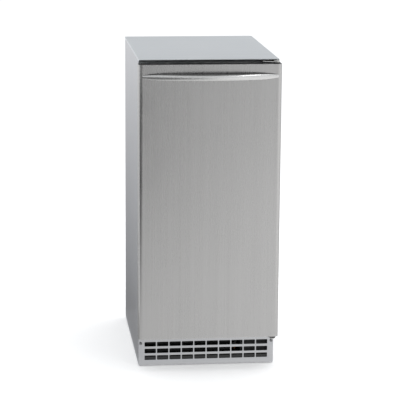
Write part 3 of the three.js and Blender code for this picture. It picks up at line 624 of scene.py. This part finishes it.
def kick_panel():
    """The slotted grille panel across the foot of the front."""
    left, right, front, back, low, high = reach("kick_panel")
    pitch_x, pitch_z, first_z = 34.2, 19.1, 24.3
    half_x, half_z = 15.6, 6.3
    holes = []
    for column in range(10):
        x = (column - 4.5) * pitch_x
        for row in range(3):
            z = first_z + row * pitch_z
            holes.append(rounded((x - half_x, x + half_x), (z - half_z, z + half_z), 2.0, 4))
    holes += [circle((side * kick_screw_x, kick_screw_z), 2.3, 16) for side in (-1, 1)]
    piece = Piece("kick_panel_slotted")
    piece.plate(rounded((left, right), (low, high), 1.5), holes, (front, front + 1.2))
    fold = folded([(front, high - 4), (front, high), (back, high)], -1.2, 1.6)
    piece.prism(fold, (-162, 162), "x")
    piece.done("cabinet", "kick_steel", ["kick_panel"], smooth=45)


def kick_screws():
    """The two screws that hold the grille panel, with their shanks."""
    for side, name in ((-1, "kick_panel_screw_left"), (1, "kick_panel_screw_right")):
        back = reach(name)[2] + 2.3
        piece = Piece(name + "_pan_head")
        centre = (side * kick_screw_x, kick_screw_z)
        piece.screw(centre, back, radius=4.0)
        piece.lathe([(1.9, back - 0.2), (1.9, back + 8), (0.6, back + 10.5)], centre, "y", 16)
        piece.done("cabinet", "screw_steel", [name])


def lower_front_panel():
    """The plain panel over the machine compartment, with a raised bezel round the power switch."""
    left, right, front, back, low, high = reach("lower_front_panel")
    hole = rounded((116.5, 139.5), (165, 199), 1.5, 3)
    piece = Piece("lower_front_panel_sheet")
    piece.plate(rounded((left, right), (low, high), 1.0, 3), [hole], (front, back))
    piece.done("cabinet", "side_steel", ["lower_front_panel"])
    bezel = Piece("power_switch_bezel")
    levels = [(0, front), (0, front - 1.2), (1.0, front - 1.8)]
    levels += [(4.6, front - 1.8), (5.2, front - 1.2), (5.2, front)]
    bezel.stack((113.6, 142.4), (160.6, 203.4), levels, 6.5, "y", ring=True)
    bezel.done("cabinet", "black_plastic", smooth=50)


def face_frame():
    """The moulded frame round the bin's mouth, with a soft inner edge and a raised sealing land."""
    left, right, front, back, low, high = reach("face_frame")
    piece = Piece("face_frame_moulded")
    land = front + 1.2
    mouth = rounded((-150, 150), (300, 796), 16, 8)
    piece.plate(rounded((left, right), (low, high), 4, 4), [mouth], (land, back), ease=0.8)
    ridge = [(12.5, land + 0.3), (12.5, front + 0.5), (13.0, front)]
    ridge += [(22.4, front), (23.2, front + 0.5), (23.2, land + 0.3)]
    piece.stack((left, right), (low - 4.5, high - 9), ridge, 18, "y", ring=True)
    piece.done("cabinet", "grey_plastic", ["face_frame"], smooth=45)


def bin_liner():
    """The bin: one deep moulding with round corners, open in front, with a drain in its floor."""
    front = reach("bin_liner")[2]
    wall, bend, bend_y = 2.6, 23, 212
    x, z = (-150, 150), (300, 796)
    inside = [(0, front), (0, bend_y)]
    inside += [(bend + a, bend_y + b) for a, b in arc((0, 0), bend, 180, 90, 6)][1:]
    outside = [(-wall, front), (-wall, bend_y)]
    outside += [(bend + a, bend_y + b) for a, b in arc((0, 0), bend + wall, 180, 90, 6)][1:]
    piece = Piece("bin_liner_moulded")
    loops = []
    for inset, y in inside[::-1] + outside:
        across, up = (x[0] + inset, x[1] - inset), (z[0] + inset, z[1] - inset)
        outline = rounded(across, up, max(16 - inset, 1.0), 8)
        loops.append([at("y", a, b, y) for a, b in outline])
    piece.skin(loops)
    piece.done("cabinet", "white_plastic", ["bin_liner"], smooth=50)
    drain = Piece("bin_drain_strainer")
    x, y = -90, 200
    flange = [(5.5, 300.2), (16, 300.2), (17, 300.8), (16, 301.8), (6.5, 302.2), (5.5, 301.6)]
    drain.lathe(flange, (x, y), ring=True)
    for turn in range(6):
        a = math.radians(60 * turn)
        bar = [(x + r * math.cos(a), y + r * math.sin(a), 302.0) for r in (-5.0, 5.5)]
        drain.tube(bar, 0.7, 0.1, 8, 1)
    drain.done("cabinet", "grey_plastic", smooth=50)


def rear_panels():
    """The plain upper back sheet and the louvred service panel, each held by screws."""
    left, right, front, back, low, high = reach("rear_panel")
    piece = Piece("rear_panel_sheet")
    skirt = 7  # hangs over the insulation's lower edge
    piece.plate(rounded((left, right), (low - skirt, high), 3, 3), [], (front, back), ease=0.3)
    piece.done("cabinet", "galvanized_steel", ["rear_panel"])
    screws = Piece("rear_panel_screws")
    for z in (low + 14, (low + high) / 2, high - 30):
        for x in (left + 8, right - 8):
            screws.screw((x, z), back, out=1, radius=3.4, dome=0.4)
            screws.lathe([(1.9, back - 6), (1.9, back + 0.3)], (x, z), "y", 12)
    screws.done("cabinet", "screw_steel")

    left, right, front, back, low, high = reach("rear_service_panel")
    holes = []
    hoods = Piece("rear_service_panel_louvres")
    for row in range(7):
        z = 128 + row * 15
        for x in ((-130, -20), (20, 130)):
            holes.append(rounded(x, (z, z + 6), 1.2, 2))
            run = [(front + 1.2, z + 8.4), (front + 5.6, z + 4.6), (front + 5.9, z + 0.2)]
            hood = folded(run, 1.0, 3.0, 4)
            hoods.prism(hood, (x[0] + 1, x[1] - 1), "x")
            for end in (x[0] + 1.5, x[1] - 1.5):
                cheek = [(front + 1.0, z + 8.2), (front + 5.6, z + 4.5)]
                cheek += [(front + 5.8, z + 0.4), (front + 1.0, z + 0.4)]
                hoods.prism(cheek, (end - 0.5, end + 0.5), "x")
    hoods.done("cabinet", "galvanized_steel", smooth=45)
    holes += [circle((-140, 70), 15, 32), circle((-90, 50), 13, 32), circle((150, 60), 9.5, 24)]
    panel = Piece("rear_service_panel_sheet")
    outline = rounded((left, right), (low, high - 1), 2, 3)
    panel.plate(outline, holes, (front, front + 1.2), ease=0.3)
    flange = folded([(front, high - 4), (front, high), (back, high)], -1.2, 1.8)
    panel.prism(flange, (left, right), "x")
    panel.done("cabinet", "galvanized_steel", ["rear_service_panel"], smooth=45)
    screws = Piece("rear_service_panel_screws")
    for z in (low + 10, high - 16):
        for x in (left + 9, right - 9):
            screws.screw((x, z), front + 1.2, out=1, radius=3.4)
    screws.done("cabinet", "screw_steel")


# ---- hinges ----


def hinges():
    """The top plate, the screws of the bottom plate, and the pins that the door turns on."""
    left, right, _, back, low, high = reach("top_hinge_bracket")
    pin = (178, -240)
    nose = arc(pin, 8, 250, 352, 10)
    outline = [(left, back), (left, -231), *nose, (right, -208), (184.4, -205.4), (184.4, back)]
    hole = circle(pin, 4.3, 24)
    plate = Piece("top_hinge_bracket_plate")
    plate.plate(outline, [hole], (low, high), "z", 0.35)
    plate.done("cabinet", "bright_steel", ["top_hinge_bracket"])
    foot, head = reach("top_hinge_pin")[4:]
    turned = Piece("top_hinge_pin_turned")
    profile = [(2.8, foot), (3.6, foot + 0.5), (4, foot + 1.6), (4, high + 0.3), (6.6, high + 0.3)]
    profile += [(7, high + 0.7), (7, head - 0.9), (6.5, head - 0.2), (5.6, head), (2.6, head)]
    profile += [(2.2, head - 1.0), (0.4, head - 1.0)]
    turned.lathe(profile, pin)
    turned.done("cabinet", "bright_steel", ["top_hinge_pin"], smooth=35)

    low, high = reach("bottom_hinge_pin")[4:]
    arm_low = reach("bottom_hinge_bracket")[4]
    turned = Piece("bottom_hinge_pin_turned")
    profile = [(0.5, low), (6.2, low), (7, low + 0.8), (7, arm_low - 0.3), (4, arm_low - 0.3)]
    profile += [(4, high - 1.8), (3.4, high - 0.6), (2.6, high), (0.5, high)]
    turned.lathe(profile, pin)
    turned.done("cabinet", "bright_steel", ["bottom_hinge_pin"], smooth=35)
    screws = Piece("bottom_hinge_screws")
    leg_front = -208.3
    for x in (156, 174):
        screws.screw((x, arm_low + 22), leg_front, radius=3.8)
    screws.done("cabinet", "screw_steel")


# ---- the ice section ----


def ice_curtain():
    """The splash curtain: a thin ribbed leaf hung on its axle."""
    left, right = -119, 62
    top = 735
    y = 4
    piece = Piece("ice_curtain_ribbed")
    piece.block((left, right), (y - 1.2, y + 1.2), (638.5, top), 1.0)
    piece.block((left, right), (y - 2.8, y + 1.2), (637, 643), 1.2)
    for i in range(7):
        x = left + 8 + i * (right - left - 16) / 6
        piece.block((x - 1.2, x + 1.2), (y - 2.6, y - 1.0), (643, top - 8), 0.8)
    piece.lathe([(2.4, -128), (3, -127.2), (3, 70.2), (2.4, 71)], (y, top), "x", 20)
    piece.done("ice_curtain", "blue_plastic", ["ice_curtain"], smooth=45)


def evaporator():
    """The cube mold: round-cornered cups open downwards, in a rimmed tray with its fixing ears."""
    x, y, z = (-115, 60), (30, 205), (742, 770)
    holes = []
    piece = Piece("evaporator_mold_cups")
    for i in range(5):
        for j in range(5):
            centre = (x[0] + (i + 0.5) * 35, y[0] + (j + 0.5) * 35)
            holes.append(circle(centre, 15.5, 24))
            cup = [(15.5, z[0] + 1), (15.3, z[0] + 14), (14.4, z[1] - 8)]
            cup += [(12, z[1] - 5), (0.5, z[1] - 4)]
            piece.lathe(cup, centre, sides=24)
    rim = rounded(x, y, 3, 4)
    piece.plate(rim, holes, (z[0], z[0] + 1.6), "z", 0.4)
    levels = [(0, z[0] + 1), (0, z[1] - 1), (1, z[1]), (30, z[1])]
    piece.stack(x, y, levels, 3)
    for ear in (50, 185):
        for span in ((-125.7, x[0] + 1), (x[1] - 1, 125.7)):
            piece.block(span, (ear - 8, ear + 8), (z[1] - 5, z[1] - 1), 2)
    piece.done("cabinet", "tinned_copper", ["evaporator_mold"], smooth=45)


# ---- the condensing unit ----


def condenser():
    """The coated condenser, its black also standing in for painted shade behind the grille: thin
    upright fins on tubes, with end plates and return bends.
    """
    left, _, front, back, low, high = reach("condenser")
    core, tube = 70, 4.2
    piece = Piece("condenser_finned")
    count = 96
    for i in range(count):
        x = left + 2 + i * (core - left - 4) / (count - 1)
        corners = [(x - 0.12, front), (x + 0.12, front), (x + 0.12, back), (x - 0.12, back)]
        piece.prism(corners, (low + 1, high - 1))
    for x in ((left, left + 1.2), (core - 1.2, core)):
        piece.block(x, (front, back), (low, high), 0.3)
    middle = (front + back) / 2
    for z in range(40, 231, 21):
        for y in (middle - 13, middle + 13):
            piece.lathe([(tube, left), (tube, core + 1)], (y, z), "x", 12)
    for base in (50, 92, 134, 176):
        near, far, top = core - 1, core + 15, base + 22
        corners = [(near, base), (far, base), (far, top), (near, top)]
        piece.tube([(x, middle, z) for x, z in corners], tube, 10.5, 14, 8)
    piece.done("cabinet", "black_fins", ["condenser"], smooth=45)


def condenser_fan():
    """The fan: a pressed hub and five twisted, swept blades."""
    x, y, z = -50, -112, 135
    piece = Piece("condenser_fan_bladed")
    profile = [(3.5, y - 9), (14, y - 9), (17, y - 7.6), (18, y - 5), (18, y + 9)]
    profile += [(16.6, y + 9), (16.6, y - 4), (3.5, y - 4)]
    piece.lathe(profile, (x, z), "y", 40, ring=True)
    root, tip, stations = 16.5, 74, 10
    for blade in range(5):
        loops = []
        for i in range(stations + 1):
            share = i / stations
            radius = root + (tip - root) * share
            sweep = math.radians(72 * blade + 16 * share * share)
            half = (15 + 19 * share) * (1 - 0.25 * share ** 6)
            pitch = math.radians(48 - 24 * share)
            front_side, back_side = [], []
            for k in range(7):
                chord = 2 * k / 6 - 1
                camber = 3.2 * (1 - chord * chord)
                across = half * chord
                turn = sweep + across * math.cos(pitch) / max(radius, 24)
                depth = y + across * math.sin(pitch) * 0.62 - camber
                place = (x + radius * math.cos(turn), z + radius * math.sin(turn))
                front_side.append(Vector((place[0], depth - 0.5, place[1])))
                back_side.append(Vector((place[0], depth + 0.5, place[1])))
            loops.append(front_side + back_side[::-1])
        piece.skin(loops)
    piece.done("fan", "aluminium_fan", ["condenser_fan"], smooth=40)


def compressor():
    """The sealed compressor: a welded two-part shell on its foot plate, with a terminal cover."""
    x, y = 85, 165
    piece = Piece("compressor_shell")
    profile = [(40, 19.5), (54, 20), (66, 28), (71.5, 42), (73, 60), (73, 99), (74.4, 99.4)]
    profile += [(75.6, 100.6), (76, 102.5), (75.6, 104.4), (74.4, 105.6), (73, 106), (73, 138)]
    profile += [(71.6, 152), (66, 168), (57.5, 178), (46, 184.5), (30, 189), (14, 190.8), (1, 191)]
    piece.lathe(profile, (x, y), sides=56)
    holes = [circle((x + a, y + b), 5, 16) for a in (-60, 60) for b in (-60, 60)]
    foot = rounded((x - 74, x + 74), (y - 74, y + 74), 14, 5)
    piece.plate(foot, holes, (17, 20), "z", 0.6)
    piece.lathe([(3.5, 180), (3.5, 200), (3.0, 204), (1.0, 205)], (x + 30, y - 20), sides=16)
    piece.done("cabinet", "black_paint", ["compressor"], smooth=40)
    cover = Piece("compressor_terminal_cover")
    levels = [(0, x - 62), (0, x - 91), (1.2, x - 93.4), (4, x - 94), (18, x - 94)]
    cover.stack((y - 24, y + 24), (86, 136), levels, 8, "x")
    cover.done("cabinet", "black_plastic", smooth=45)


# ---- feet ----


def levelling_feet():
    """Each foot: a round moulded pad on a threaded stud."""
    crest, valley, pitch = 4.8, 4.2, 1.2
    for corner in ("front_left", "front_right", "rear_left", "rear_right"):
        node = "leveling_foot_" + corner
        left, right, front, back, low, high = reach(node)
        centre = ((left + right) / 2, (front + back) / 2)
        piece = Piece(node + "_turned")
        profile = [(12, low), (13.4, low + 0.3), (14, low + 0.9), (13.6, low + 1.8)]
        profile += [(12.8, low + 2.2), (crest, low + 2.2)]
        place = low + 2.6
        while place < high - 1.6:
            profile += [(crest, place), (valley, place + pitch / 2)]
            place += pitch
        profile += [(4.0, high - 0.6), (3.2, high), (0.4, high)]
        piece.lathe(profile, centre, sides=32)
        piece.done("foot_" + corner, "foot_plastic", [node], smooth=35)


# ---- CAD solids that stay: their edges are eased and they get their finish ----

eased = {
    "door_top_cap": 0.8,
    "door_bottom_cap": 0.8,
    "top_hinge_bearing": 0.3,
    "bottom_hinge_bearing": 0.4,
    "bottom_hinge_bracket": 0.5,
    "front_top_rail": 0.3,
    "base_pan": 0.3,
    "evaporator_frame": 0.5,
    "ice_chute": 0.5,
    "spray_manifold": 0.3,
    "water_sump": 0.8,
    "water_pump_motor": 0.6,
    "water_pump_volute": 0.8,
    "water_pump_impeller": 0.3,
    "fan_shroud": 0.3,
    "fan_motor": 0.8,
    "fan_motor_bracket": 0.3,
    "water_inlet_valve": 0.6,
    "control_box": 0.3,
    "power_cord_gland": 0.5,
    "power_switch": 0.6,
    "bin_thermostat_tube": 0.4,
    "drain_tube": 0.5,
}


def finish_cad_solids():
    for name, node in nodes.items():
        slot = node.data.materials[0].name.split(".")[0]
        node.material_slots[0].material = finishes[slot].material
        for face in node.data.polygons:
            face.use_smooth = True
        weld = node.modifiers.new("welded", "WELD")
        weld.merge_threshold = 0.00001
        dissolve = node.modifiers.new("whole_faces", "DECIMATE")
        dissolve.decimate_type = "DISSOLVE"
        dissolve.angle_limit = math.radians(1.5)
        ease_edges(node, eased.get(name, 0.2))


# ---- the studio ----


def paper(name, glow, colour=(0, 0, 0)):
    """Studio paper that glows: glow gives its brightness, up to 2, from its Finish."""
    constants = {"Roughness": 0.9, "Specular IOR Level": 0.0, "Emission Strength": 1.0}
    sheet = Finish(name, constants)
    tone = sheet.blend(sheet.noise(2, detail=2.0), tint(colour, 0.99), tint(colour, 1.01))
    sheet.feed("Base Color", tone)
    sheet.feed("Emission Color", sheet.blend(glow(sheet) * 0.5, (0, 0, 0, 1), (2, 2, 2, 1)))
    return sheet


def card(name, corners, finish, seen=True, mirrored=True):
    """A flat studio sheet, which the camera sees or only the steel mirrors."""
    mesh = bpy.data.meshes.new(name)
    mesh.from_pydata(corners, [], [tuple(range(len(corners)))])
    mesh.materials.append(finish.material)
    sheet = bpy.data.objects.new(name, mesh)
    bpy.context.scene.collection.objects.link(sheet)
    sheet.visible_camera = seen
    sheet.visible_glossy = mirrored
    if not (seen and mirrored):
        sheet.visible_diffuse = False
        sheet.visible_shadow = False


def soft_light(name, place, target, size, power):
    """A rectangular white lamp at a place, turned towards a target."""
    lamp = bpy.data.lights.new(name, "AREA")
    lamp.shape = "RECTANGLE"
    lamp.size, lamp.size_y = size
    lamp.energy = power
    holder = bpy.data.objects.new(name, lamp)
    holder.location = place
    holder.rotation_euler = (Vector(target) - Vector(place)).to_track_quat("-Z", "Y").to_euler()
    bpy.context.scene.collection.objects.link(holder)


def door_painted_reflection_glow(sheet):
    """Painted reflection for the door: brighter near the door and towards the right, so the door
    mirrors more light low down and on the right.
    """
    x, y = sheet.part(sheet.place, "x"), sheet.part(sheet.place, "y")
    away = y * -1.0 - 0.264
    level = away * (0.012 - away * 0.0075) + 0.85
    return (level + (x - away * 0.12) * (away * 0.16 + 0.27)).least(1.1).most(0.1)


def side_painted_shade_glow(sheet):
    """Painted shade for the side sheet's reflection: dark at the floor and light at the top, so the
    side sheet is darker towards its foot.
    """
    height = sheet.part(sheet.place, "z")
    return height * (height * 0.52 + 0.45) + 0.3


def even_glow(level, slope=0.0):
    """The same glow all over, or one that grows with x."""
    return lambda sheet: sheet.part(sheet.place, "x") * slope + level


def studio():
    floor = [(-14, -14, 0), (14, -14, 0), (14, 14, 0), (-14, 14, 0)]
    card("studio_floor", floor, paper("pale_floor", even_glow(0.34), (0.85, 0.85, 0.85)))
    white = paper("white_backdrop", even_glow(1.0))
    rim = [(14 * math.cos(a), 14 * math.sin(a)) for a in [math.pi * i / 16 for i in range(32)]]
    for i, (x, y) in enumerate(rim):
        following = rim[(i + 1) % len(rim)]
        wall = [(x, y, -0.5), (*following, -0.5), (*following, 7), (x, y, 7)]
        card(f"studio_backdrop_{i}", wall, white, mirrored=False)
    # painted reflection: a glowing card that only the steel mirrors, graded to brighten the door's
    # lower right
    front = [(-6, -12, 0.002), (8, -12, 0.002), (8, -0.21, 0.002), (-6, -0.21, 0.002)]
    card("door_painted_reflection_card", front, paper("graded_painted_reflection_floor", door_painted_reflection_glow), seen=False)
    # painted shade: a card that only the steel mirrors, graded dark at the bottom to darken the
    # side panel's foot
    behind = [(-0.7, 0.36, 0), (-0.191, 0.36, 0), (-0.191, 0.36, 0.85), (-0.7, 0.36, 0.85)]
    card("side_painted_shade_card", behind, paper("graded_painted_shade_sheet", side_painted_shade_glow), seen=False)
    # painted shade: a dim card that only the steel mirrors, darkening the floor's reflection beside
    # the left side
    beside = [(-0.7, -0.2, 0.002), (-0.191, -0.2, 0.002)]
    beside += [(-0.191, 0.36, 0.002), (-0.7, 0.36, 0.002)]
    dim = paper("dim_painted_shade_floor", even_glow(0.36))
    card("side_floor_painted_shade_card", beside, dim, seen=False)
    # painted reflection: a grey card that only the steel mirrors, on the right
    right = [(0.2, -0.21, 0.002), (8, -0.21, 0.002), (8, 8, 0.002), (0.2, 8, 0.002)]
    grey = paper("grey_painted_reflection_floor", even_glow(0.68))
    card("right_floor_painted_reflection_card", right, grey, seen=False)
    # painted shade: a dim ceiling that only the steel mirrors, dulling reflections on upward faces
    overhead = [(-4, -4, 3), (-4, 4, 3), (4, 4, 3), (4, -4, 3)]
    flag = paper("dim_painted_shade_ceiling", even_glow(0.42, 0.05))
    card("overhead_painted_shade_flag", overhead, flag, seen=False)

    world = bpy.data.worlds.new("studio_air")
    world.use_nodes = True
    air = world.node_tree.nodes["Background"]
    air.inputs["Color"].default_value = (0.97, 0.985, 1.0, 1.0)
    air.inputs["Strength"].default_value = 0.87
    bpy.context.scene.world = world

    soft_light("overhead_softbox", (0.5, 0.3, 3.2), (0, 0, 0), (2.5, 2.5), 30)
    soft_light("front_softbox", (2.0, -3.4, 2.4), (0.1, -0.25, 0.8), (0.8, 0.8), 12)
    bpy.context.scene.view_settings.view_transform = "Standard"


def camera():
    """The camera stands in front, to the left and above, and looks a little down."""
    yaw, pitch, roll = math.radians(6.52), math.radians(12.02), math.radians(0.40)
    level = math.cos(pitch)
    ahead = Vector((math.sin(yaw) * level, math.cos(yaw) * level, -math.sin(pitch)))
    right = Vector((math.cos(yaw), -math.sin(yaw), 0))
    up = right.cross(ahead)
    across = right * math.cos(roll) + up * math.sin(roll)
    upright = up * math.cos(roll) - right * math.sin(roll)
    lens = bpy.data.cameras.new("studio_camera")
    lens.lens = 157.32
    lens.sensor_width = 36
    lens.clip_end = 100
    holder = bpy.data.objects.new("studio_camera", lens)
    matrix = holder.matrix_world
    for row in range(3):
        matrix[row] = (across[row], upright[row], -ahead[row], (-0.543, -4.784, 1.445)[row])
    holder.matrix_world = matrix
    bpy.context.scene.collection.objects.link(holder)
    bpy.context.scene.camera = holder


# ---- the ice maker ----

camera()
studio()
finish_cad_solids()
door_skin()
door_handle()
door_liner()
door_gasket()
top_panel()
side_panel(-1, "left_side_panel")
side_panel(1, "right_side_panel")
kick_panel()
kick_screws()
lower_front_panel()
face_frame()
bin_liner()
rear_panels()
hinges()
ice_curtain()
evaporator()
condenser()
condenser_fan()
compressor()
levelling_feet()
